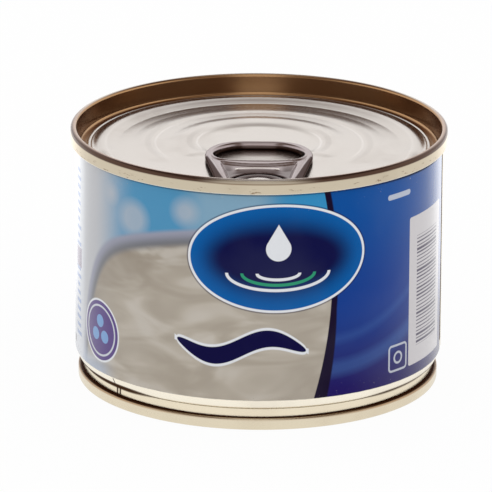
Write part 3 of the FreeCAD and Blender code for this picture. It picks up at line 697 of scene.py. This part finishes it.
ribbon = {
    "middle": -3.4, "half": 13.0, "level": 17.3, "swing": 1.9, "waves": 3.6, "thick": 1.9, "border": 0.55,
}


def drawRibbon(look, colour, u, z):
    out = u - ribbon["middle"]
    share = out / ribbon["half"]
    level = ribbon["level"] + (share * ribbon["waves"]).sine() * ribbon["swing"]
    half = (1.0 - share * share).larger(0.0).root() * ribbon["thick"]
    gap = (abs(z - level) - half).larger(abs(out) - ribbon["half"])
    colour = look.blend(colour, art["white"], (gap - ribbon["border"]).inside(0.2))
    return look.blend(colour, art["ink"], gap.inside())


seal = {
    "centre": (-37.5, 15.0), "border": 6.5, "radius": 6.1, "ring": 5.1, "ringHalf": 0.2,
    "dots": ((-37.5, 17.0), (-39.2, 14.0), (-35.8, 14.0)), "dotRadius": 1.3,
}


def drawSeal(look, colour, u, z):
    colour = look.blend(colour, art["white"], discGap(u, z, seal["centre"], seal["border"]).inside(0.2))
    colour = look.blend(colour, art["violet"], discGap(u, z, seal["centre"], seal["radius"]).inside())
    ring = abs(discGap(u, z, seal["centre"], seal["ring"])) - seal["ringHalf"]
    colour = look.blend(colour, art["pale"], ring.inside())
    for spot in seal["dots"]:
        colour = look.blend(colour, art["dots"], discGap(u, z, spot, seal["dotRadius"]).inside())
    return colour


def rowLength(look, z, pitch):  # one random value for each row
    row = (z / pitch).floor()
    return look.add("ShaderNodeTexWhiteNoise", {"noise_dimensions": "1D"}, {"W": row}, "Value")


def rowGap(z, pitch, half):  # signed distance to the middle line of each row
    return abs(z.wrap(0.0, pitch) - pitch / 2) - half


bars = {
    "box": ((42.5, 24.0), (7.6, 15.4)), "corner": 0.5, "field": ((42.7, 23.7), (5.0, 11.4)),
    "pitch": 0.74, "thin": 0.1, "thick": 0.2,
}


def drawBars(look, colour, u, z):
    colour = look.blend(colour, art["box"], boxGap(u, z, *bars["box"], bars["corner"]).inside())
    width = rowLength(look, z, bars["pitch"])
    gap = rowGap(z, bars["pitch"], bars["thin"]) - width * width * bars["thick"]
    return look.blend(colour, art["bar"], gap.larger(boxGap(u, z, *bars["field"])).inside() * 0.95)


marks = {
    "rule": ((31.5, 45.0), (3.4, 0.55)), "ruleCorner": 0.5,
    "frame": ((31.5, 11.4), (2.6, 2.6)), "frameCorner": 0.7, "disc": 1.1, "lineHalf": 0.22,
}


def drawSmallMarks(look, colour, u, z):
    rule = boxGap(u, z, *marks["rule"], marks["ruleCorner"])
    colour = look.blend(colour, art["pale"], rule.inside() * 0.8)
    frame = abs(boxGap(u, z, *marks["frame"], marks["frameCorner"])) - marks["lineHalf"]
    disc = abs(discGap(u, z, marks["frame"][0], marks["disc"])) - marks["lineHalf"]
    return look.blend(colour, art["pale"], frame.smaller(disc).inside() * 0.85)


column = {
    "middle": -49.3, "pitch": 1.7, "ruleHalf": 0.42, "shortest": 1.0, "grows": 1.2,
    "low": 10.0, "high": 46.0, "square": ((-49.3, 27.0), (2.2, 2.0)),
}


def drawColumn(look, colour, u, z):  # plain short rules down the left edge
    length = rowLength(look, z, column["pitch"])
    side = abs(u - column["middle"]) - (column["shortest"] + length * column["grows"])
    rule = rowGap(z, column["pitch"], column["ruleHalf"]).larger(side).inside(0.2)
    rule = rule * (z > column["low"]) * (z < column["high"])
    colour = look.blend(colour, art["rule"], rule * 0.85)
    return look.blend(colour, art["square"], boxGap(u, z, *column["square"]).inside())


notes = {
    "turn": -98.0, "half": 11.4, "pitch": 2.1, "ruleHalf": 0.4, "longest": 9.4, "inset": 1.5,
    "low": 10.0, "high": 46.0, "mark": ((9.2, 8.7), (1.3, 0.7)), "markCorner": 0.3,
}


def drawNotes(look, colour, turn, z):  # pale notes panel with plain rules, at the back
    across = (turn - notes["turn"]) * aroundStep
    colour = look.blend(colour, art["pale"], (abs(across) - notes["half"]).inside())
    short = rowLength(look, z, notes["pitch"]) * notes["inset"]
    side = abs(across + notes["inset"] - short) - (notes["longest"] - short)
    rule = rowGap(z, notes["pitch"], notes["ruleHalf"]).larger(side).inside(0.2)
    rule = rule * (z > notes["low"]) * (z < notes["high"])
    colour = look.blend(colour, art["noteRule"], rule * 0.7)
    mark = boxGap(across, z, *notes["mark"], notes["markCorner"])
    return look.blend(colour, art["noteMark"], mark.inside())


creases = ((-52.3, 0.4, 2.4, 4.6), (-50.8, 0.4, 2.4, 4.5), (-51.6, 0.25, 4.4, 6.2))  # turn, half, low, high


def drawCrease(look, colour, turn, z):  # painted shade in the creases of a small knock on the bare foot, at the front left
    for place, half, low, high in creases:
        line = (abs(turn - place) - half).larger(low - z).larger(z - high)
        colour = look.blend(colour, art["knockShade"], line.inside(0.25) * 0.95)
    return colour


wallTin = {  # pairs are the start and end of a mask, mm or degrees
    "weldShade": 0.5, "edgeTurn": 85.3, "edgeReach": 1.9, "edgeFoot": 8.3,
    "chipLow": 8.0, "chipHigh": 46.5, "chipCut": (0.72, 0.76),
    "underDrop": 0.42, "underMore": 0.4, "rightFrom": (20.0, 72.0), "rightTo": (120.0, 150.0),
    "glossFrom": (28.0, 72.0), "dullFrom": (74.0, 85.0), "dullTo": (95.0, 106.0),
}


def makeWallLook():
    look, spot, (x, y, z), lines, clouds = tinLook("printedTinplate")
    turn = turnOf(x, y)
    front = (abs(turn - art["frontMiddle"]) - art["frontHalf"]).inside(0.4)
    around = turn.wrap(-94.0, 266.0)  # the back counts on past the weld without a jump
    local = front * turn + (1 - front) * (around - 180.0)
    u = local * aroundStep
    colour = drawField(look, u, z)
    for draw in (drawPanel, drawBadge, drawRibbon, drawSeal):
        colour = draw(look, colour, u, z)
    onFront = colour
    for draw in (drawBars, drawSmallMarks, drawColumn):
        onFront = draw(look, onFront, u, z)
    colour = look.blend(colour, onFront, front)
    colour = drawNotes(look, colour, turn, z)
    fade = look.noise(spot, 0.05, 3.0)
    colour = look.blend(colour, art["pale"], (fade - 0.45).larger(0.0) * 0.08)

    margin = abs((turn - weldTurn).wrap(-180.0, 180.0)) - art["bareHalf"]
    wobble = look.noise(spot, 0.7, 3.0)
    printed = (0 - margin).inside(0.2) * (neckTop + (wobble - 0.5) * 0.16 - z).inside(0.14)
    printed = printed * (z - art["top"]).inside(0.14)
    bare, shaded = neckColour(look, turn, z, lines, clouds)
    half = wallTin["weldShade"]  # painted shade along the edges of the bare strip beside the weld, wider on the front side
    weldShadeLine = (abs(margin + half) - half).smaller(abs(turn - wallTin["edgeTurn"]) - wallTin["edgeReach"])
    weldShadeLine = weldShadeLine.inside(0.3) * (z > wallTin["edgeFoot"])
    ends = (z - wallTin["chipLow"]).inside(3.0).larger((wallTin["chipHigh"] - z).inside(3.0))
    printed = printed * (1 - look.noise(spot, 2.4, 2.0).step(*wallTin["chipCut"]) * ends * 0.6)
    colour = look.blend(drawCrease(look, bare, turn, z), colour, printed)
    right = turn.between(wallTin["rightFrom"], wallTin["rightTo"])
    under = (wallTop - wallTin["underDrop"] - right * wallTin["underMore"] - z).inside(0.3)
    under = under * (0.56 + right * 0.4)  # shade under the seam, deeper on the right
    colour = look.blend(colour, art["underSeam"], under)
    printed = printed.larger(weldShadeLine)
    gloss = printed * abs(turn).step(*wallTin["glossFrom"]) * (1 - under)
    gloss = gloss * (1 - abs(turn).between(wallTin["dullFrom"], wallTin["dullTo"]) * 0.5)
    rough = printed * 0.22 + (1 - printed) * tinplate["footRoughness"] + (clouds - 0.5) * 0.08
    normal = look.bump(printed + look.noise(spot, 1.3, 2.0) * 0.35, 0.012)
    return look.finish(Base_Color=colour, Metallic=1 - printed, Roughness=rough,
                       Specular_IOR_Level=0.07, Coat_Weight=gloss, Coat_Roughness=0.2,
                       Normal=normal, dark=weldShadeLine.larger(shaded), ink=art["weldShade"])


wallLook = makeWallLook()
lidLook = makeLidLook()
tabLook = makeTabLook()
footLook = makeFootLook()
print("finishes ready")


# printed wall with its necked foot
wall = {
    "corners": (  # radius, height, rounding: over the contents, down the wall and neck, back under them
        (0.0, 46.9, 0), (36.25, 46.9, 0), (36.35, wallTop, 0), (wallRadius, wallTop, 0),
        (wallRadius, neckTop, 1.1), (35.85, 4.62, 0.2), (35.1, 4.2, 0.2), (35.1, 2.4, 0),
        (34.6, 2.4, 0), (34.6, 4.45, 0), (0.0, 4.45, 0),
    ),
    "weldWidth": 1.1, "weldRise": 0.1, "weldEase": 0.1,
}


def makeWall():
    def shape(index, x, y, z):
        radius = math.hypot(x, y)
        if radius < 36.4 or z < neckTop or z > wallTop + 0.01:
            return x, y, z
        turn = math.degrees(math.atan2(x, -y))
        off = abs(turn - weldTurn) * aroundStep
        half = wall["weldWidth"] / 2
        lift = wall["weldRise"] * (1 - ease(off, half - wall["weldEase"], half + wall["weldEase"]))
        return x * (1 + lift / radius), y * (1 + lift / radius), z

    extra = [weldTurn + step * 0.15 for step in range(-9, 10)]  # finer steps across the weld
    piece = lathe("printedWall", roundedPath(wall["corners"]), evenTurns(360, extra), shape=shape)
    dress(piece, wallLook, "can_body")


makeWall()
print("wall built")


# easy-open end
lid = {
    "level": 48.25, "sheet": 0.25,
    "beads": ((31.2, 218.0, 0.48, 3.0, 1.9), (22.2, 252.0, 0.13, 1.3, 3.4), (13.6, 262.0, 0.28, 2.5, 4.6)),
    "beadFade": (9.0, 3.0), "fallFrom": 16.0, "fallTo": 29.5, "fall": 0.5,
    "score": 33.6, "scoreHalf": 0.16, "scoreDepth": 0.12,
    "rivet": (0.0, -28.4), "bossTop": 4.0, "bossFoot": 5.2, "bossRise": 0.19,
    "seam": (  # radius, height, rounding, from the panel out and back
        (34.2, 48.25, 0.3), (34.42, 47.7, 0.3), (35.95, 47.7, 0.6), (36.42, 52.0, 0.57),
        (37.6, 52.0, 0.57), (37.6, wallTop, 0.4), (36.45, wallTop, 0), (36.34, 48.6, 0.1),
        (35.97, 47.2, 0.5), (34.17, 47.2, 0.5),
    ),
}


def beadHeight(x, y):  # beads: middle, sweep, rise, reach in and out
    radius = math.hypot(x, y)
    turn = abs(math.degrees(math.atan2(x, y)))  # from the far side
    height = 0.0
    for middle, sweep, rise, inner, outer in lid["beads"]:
        reach = inner if radius < middle else outer
        if abs(radius - middle) > reach:
            continue
        fade = 1 - ease(turn, sweep / 2 - lid["beadFade"][0], sweep / 2 + lid["beadFade"][1])
        share = min(1.0, abs(radius - middle) / reach / (0.55 + 0.45 * fade))
        height = max(height, rise * fade * (1 - share * share) ** 1.5)
    return height


def panelFall(radius):  # the panel is a little domed between its beads
    share = min(1.0, max(0.0, (radius - lid["fallFrom"]) / (lid["fallTo"] - lid["fallFrom"])))
    return lid["fall"] * (0.5 - share) * (1 - ease(radius, lid["fallTo"], 33.0)) * ease(radius, 10.0, 17.5)


def makeLid():
    level = lid["level"]
    score = lid["score"]
    half = lid["scoreHalf"]
    inner = [0.4 * n for n in range(31)]  # coarse in the middle, fine over the beads
    while inner[-1] < 33.0:
        inner.append(inner[-1] + 0.2)
    inner = [value for value in inner if value < score - half - 0.3] + [score - half - 0.15, score - half]
    path = [(value, level) for value in inner]
    path += [(score + side, level - lid["scoreDepth"]) for side in (-0.05, 0.05)]
    path.append((score + half, level))
    topCount = len(path)
    under = level - lid["sheet"]
    rest = ((score + half, level, 0), *lid["seam"], (33.95, under, 0), (0.0, under, 0))
    path += roundedPath(rest, 10)[1:]

    def shape(index, x, y, z):
        if index >= topCount:
            return x, y, z
        off = math.hypot(x - lid["rivet"][0], y - lid["rivet"][1])
        boss = lid["bossRise"] * (1 - ease(off, lid["bossTop"], lid["bossFoot"]))
        fall = panelFall(math.hypot(x, y)) * ease(y, -24.0, -10.0)
        return x, y, z + max(beadHeight(x, y), boss) + fall

    piece = lathe("easyOpenEnd", path, evenTurns(480), shape=shape)
    dress(piece, lidLook, "top_end")


makeLid()
print("easy-open end built")


# foot end
foot = {
    "corners": (  # radius, height, rounding, from the middle out and back
        (0.0, 3.2, 0), (18.0, 3.2, 0.5), (18.6, 3.75, 0.5), (27.4, 3.75, 0.5), (28.0, 3.2, 0.5),
        (32.7, 3.2, 0.4), (32.9, 4.1, 0.35), (34.2, 4.1, 0.5), (34.78, 0.0, 0.42), (36.05, 0.0, 0.5),
        (36.05, 2.4, 0.35), (35.0, 2.4, 0), (34.45, 4.35, 0.5), (32.65, 4.35, 0.4), (32.4, 3.45, 0.3),
        (28.1, 3.45, 0), (27.4, 4.0, 0.3), (18.6, 4.0, 0.3), (17.9, 3.45, 0), (0.0, 3.45, 0),
    ),
}


def makeFoot():
    piece = lathe("footEnd", roundedPath(foot["corners"], 10), evenTurns(360))
    dress(piece, footLook, "bottom_end")


makeFoot()
print("foot end built")


# ring pull
pull = {
    "low": 48.45, "high": 49.85, "heelFoot": 48.12, "voxel": 0.12,
    "rim": 0.7, "holeRim": 0.62, "soften": 5,
    "webTop": 48.8, "legTop": 49.72, "webBackHalf": 7.45, "webFrontHalf": 5.8,
    "webFrom": 19.0, "webLong": 12.0, "legEase": (-0.8, 0.4), "bendHalf": 7.0, "barFrom": (30.7, 31.9),
    "slope": ((18.7, 1.0), (19.0, 0.95), (19.6, 0.5), (22.4, 0.0)), "slopeBend": 0.036,
    "ledge": ((19.6, 0.47), (20.8, 0.43), (22.6, 0.0)), "ledgeBend": 0.03,
    "ledgeFrom": 19.4, "ledgeMiddle": -0.3, "ledgeEnds": (3.6, 5.6),
    "pips": ((-4.3, -20.9), (3.7, -20.75)), "pipRise": 0.1, "pipHalf": 0.42,
    "recess": ((-8.4, -16.9), (8.4, -16.9), (5.9, -32.3), (-5.9, -32.3)),
    "slotOuter": 6.15, "slotInner": 5.4, "slotOpen": 24.0, "slotSteps": 48,
    "dish": 0.3, "dishFrom": (0.1, 2.3), "plateHalf": 0.42, "cutters": (40.0, 60.0),
    "grid": 56, "gridBack": -16.9, "gridLong": 15.7, "gridHalf": 8.9, "gridNarrows": 2.8,
    "hole": ((0.0, -4.9), (3.7, -5.05), (5.9, -6.1), (7.6, -7.8), (8.6, -9.8), (8.85, -12.0),
             (8.3, -14.0), (7.0, -15.5), (4.2, -16.3), (0.0, -16.5)),
    "outline": ((0.0, -3.42), (4.3, -3.55), (7.4, -4.8), (9.6, -7.4), (10.6, -10.6), (10.7, -13.2),
                (10.2, -17.0), (9.3, -23.2), (8.4, -28.6), (6.7, -32.0), (3.4, -33.2), (0.0, -33.35)),
}


def smoothLoop(points, inset, steps=10):  # right half given from top to bottom, mirrored
    half = [Vector(point) for point in points]
    loop = half + [Vector((-point.x, point.y)) for point in reversed(half[1:-1])]
    count = len(loop)
    rounded = []
    for index in range(count):
        before, here, after, beyond = (loop[(index + k) % count] for k in (-1, 0, 1, 2))
        for step in range(steps):
            t = step / steps
            rounded.append(0.5 * ((2 * here) + (after - before) * t
                                  + (2 * before - 5 * here + 4 * after - beyond) * t * t
                                  + (3 * here - before - 3 * after + beyond) * t ** 3))
    count = len(rounded)
    moved = []
    for index in range(count):
        run = (rounded[(index + 1) % count] - rounded[index - 1]).normalized()
        moved.append(rounded[index] + Vector((run.y, -run.x)) * inset)
    return moved


def tubeAlong(mesh, loop, radius, level, flat=1.0, sides=20):  # a closed ring of tube
    count = len(loop)
    rings = []
    turns = [2 * math.pi * n / sides for n in range(sides)]
    for index, spot in enumerate(loop):
        run = (loop[(index + 1) % count] - loop[index - 1]).normalized()
        side = Vector((run.y, -run.x)) * radius
        rings.append([mesh.verts.new(((spot.x + side.x * math.cos(turn)) * mm,
                                      (spot.y + side.y * math.cos(turn)) * mm,
                                      (level + radius * flat * math.sin(turn)) * mm)) for turn in turns])
    for one, other in zip(rings, rings[1:] + rings[:1]):
        for n in range(sides):
            m = (n + 1) % sides
            mesh.faces.new((one[n], one[m], other[m], other[n]))


def flatPrism(name, loop, low, high):  # a closed flat solid on one outline
    mesh = bmesh.new()
    bottom, top = ([mesh.verts.new((spot.x * mm, spot.y * mm, level * mm)) for spot in loop]
                   for level in (low, high))
    mesh.faces.new(list(reversed(bottom)))
    mesh.faces.new(top)
    for n in range(len(loop)):
        mesh.faces.new((bottom[n - 1], bottom[n], top[n], top[n - 1]))
    bmesh.ops.recalc_face_normals(mesh, faces=mesh.faces)
    return asPiece(name, mesh)


def cutAway(piece, cutter):
    cut = piece.modifiers.new("cut", "BOOLEAN")
    cut.operation = "DIFFERENCE"
    cut.solver = "EXACT"
    cut.object = cutter


def reskin(piece):
    remesh = piece.modifiers.new("skin", "REMESH")
    remesh.mode = "VOXEL"
    remesh.voxel_size = pull["voxel"] * mm


def applied(piece):  # the piece with its modifiers made real
    seen = piece.evaluated_get(bpy.context.evaluated_depsgraph_get())
    data = bpy.data.meshes.new_from_object(seen)
    piece.modifiers.clear()
    piece.data = data
    return smoothed(piece)


def along(table, value):  # straight steps between (place, share) pairs
    for (first, one), (second, other) in zip(table, table[1:]):
        if value < second:
            return one + (other - one) * max(0.0, value - first) / (second - first)
    return table[-1][1]


def pullTop(x, y):  # upper face of the front half: bar, slope, web, legs
    narrow = min(1.0, max(0.0, (-y - pull["webFrom"]) / pull["webLong"]))
    inner = pull["webBackHalf"] + (pull["webFrontHalf"] - pull["webBackHalf"]) * narrow
    side = ease(abs(x), inner + pull["legEase"][0], inner + pull["legEase"][1])
    bend = min(abs(x), pull["bendHalf"]) ** 2
    back = along(pull["slope"], pull["slopeBend"] * bend - y)
    front = ease(-y, *pull["barFrom"])
    if -y > pull["ledgeFrom"]:
        ledge = along(pull["ledge"], -y - pull["ledgeBend"] * bend)
        back += (max(back, ledge) - back) * (1 - ease(abs(x - pull["ledgeMiddle"]), *pull["ledgeEnds"]))
    pip = sum(math.exp(-(((x - spot[0]) ** 2 + (y - spot[1]) ** 2) / pull["pipHalf"] ** 2))
              for spot in pull["pips"]) * pull["pipRise"]
    away = math.hypot(x - lid["rivet"][0], y - lid["rivet"][1])
    dish = pull["dish"] * ease(pull["slotInner"] - away, *pull["dishFrom"])
    return pull["webTop"] + (pull["legTop"] - pull["webTop"]) * max(side, back, front) + pip - dish


def gridBlock(mesh):  # the front half: a shaped top over a flat foot
    count = pull["grid"]
    spots = []
    for row in range(count + 1):
        y = pull["gridBack"] - pull["gridLong"] * row / count
        reach = pull["gridHalf"] - pull["gridNarrows"] * row / count
        spots.append([(-reach + 2 * reach * n / count, y) for n in range(count + 1)])
    base = (pull["low"] + 0.02) * mm
    tops = [[mesh.verts.new((x * mm, y * mm, pullTop(x, y) * mm)) for x, y in line] for line in spots]
    lows = [[mesh.verts.new((x * mm, y * mm, base)) for x, y in line] for line in spots]
    for sheet in (tops, lows):
        for one, other in zip(sheet, sheet[1:]):
            for n in range(count):
                mesh.faces.new((one[n], one[n + 1], other[n + 1], other[n]))
    for n in range(count):
        for m in (0, count):
            mesh.faces.new((tops[n][m], tops[n + 1][m], lows[n + 1][m], lows[n][m]))
            mesh.faces.new((tops[m][n], tops[m][n + 1], lows[m][n + 1], lows[m][n]))


def slotBand():  # the C-shaped slot round the rivet
    centre = Vector(lid["rivet"])
    start = math.radians(pull["slotOpen"])
    turns = [start + (2 * math.pi - 2 * start) * n / pull["slotSteps"] for n in range(pull["slotSteps"] + 1)]
    ways = [Vector((math.sin(turn), -math.cos(turn))) for turn in turns]
    return ([centre + way * pull["slotOuter"] for way in ways]
            + [centre + way * pull["slotInner"] for way in reversed(ways)])


def makePull():
    mesh = bmesh.new()
    level = (pull["low"] + pull["high"]) / 2
    rimLoop = smoothLoop(pull["outline"], pull["rim"])
    holeLoop = smoothLoop(pull["hole"], -pull["holeRim"])
    tubeAlong(mesh, rimLoop, pull["rim"], level)
    heel = (pull["high"] - pull["heelFoot"]) / 2  # the curl round the hole reaches down to the panel
    tubeAlong(mesh, holeLoop, pull["holeRim"], pull["high"] - heel, heel / pull["holeRim"])
    gridBlock(mesh)
    bmesh.ops.recalc_face_normals(mesh, faces=mesh.faces)
    body = asPiece("ringPull", mesh)

    plate = flatPrism("pullPlate", rimLoop, level - pull["plateHalf"], level + pull["plateHalf"])
    openings = [
        flatPrism("pullHole", holeLoop, *pull["cutters"]),
        flatPrism("pullRecess", [Vector(spot) for spot in pull["recess"]], *pull["cutters"]),
    ]
    for opening in openings:
        cutAway(plate, opening)
    applied(plate)
    joined = bmesh.new()
    joined.from_mesh(body.data)
    joined.from_mesh(plate.data)
    joined.to_mesh(body.data)
    joined.free()
    reskin(body)
    applied(body)
    slot = flatPrism("pullSlot", slotBand(), *pull["cutters"])
    cutAway(body, slot)
    applied(body)
    reskin(body)
    soften = body.modifiers.new("soften", "SMOOTH")
    soften.factor = 0.5
    soften.iterations = pull["soften"]
    applied(body)
    for extra in openings + [plate, slot]:
        bpy.data.objects.remove(extra)
    dress(body, tabLook, "pull_tab")
    print("ring pull has", len(body.data.polygons), "faces")


rivet = {
    "corners": (  # radius, height, rounding
        (0.0, 49.32, 0), (0.8, 49.3, 0.3), (1.6, 49.22, 0.3), (2.4, 49.07, 0.3), (3.0, 48.88, 0.2),
        (3.3, 48.72, 0.1), (3.3, 48.55, 0.05), (2.2, 48.55, 0.1), (2.2, 48.1, 0), (0.0, 48.1, 0),
    ),
}


def makeRivet():
    piece = lathe("rivetHead", roundedPath(rivet["corners"], 10, 0.8), evenTurns(96), centre=lid["rivet"])
    dress(piece, lidLook, "top_end")


makePull()
makeRivet()
print("ring pull and rivet built")
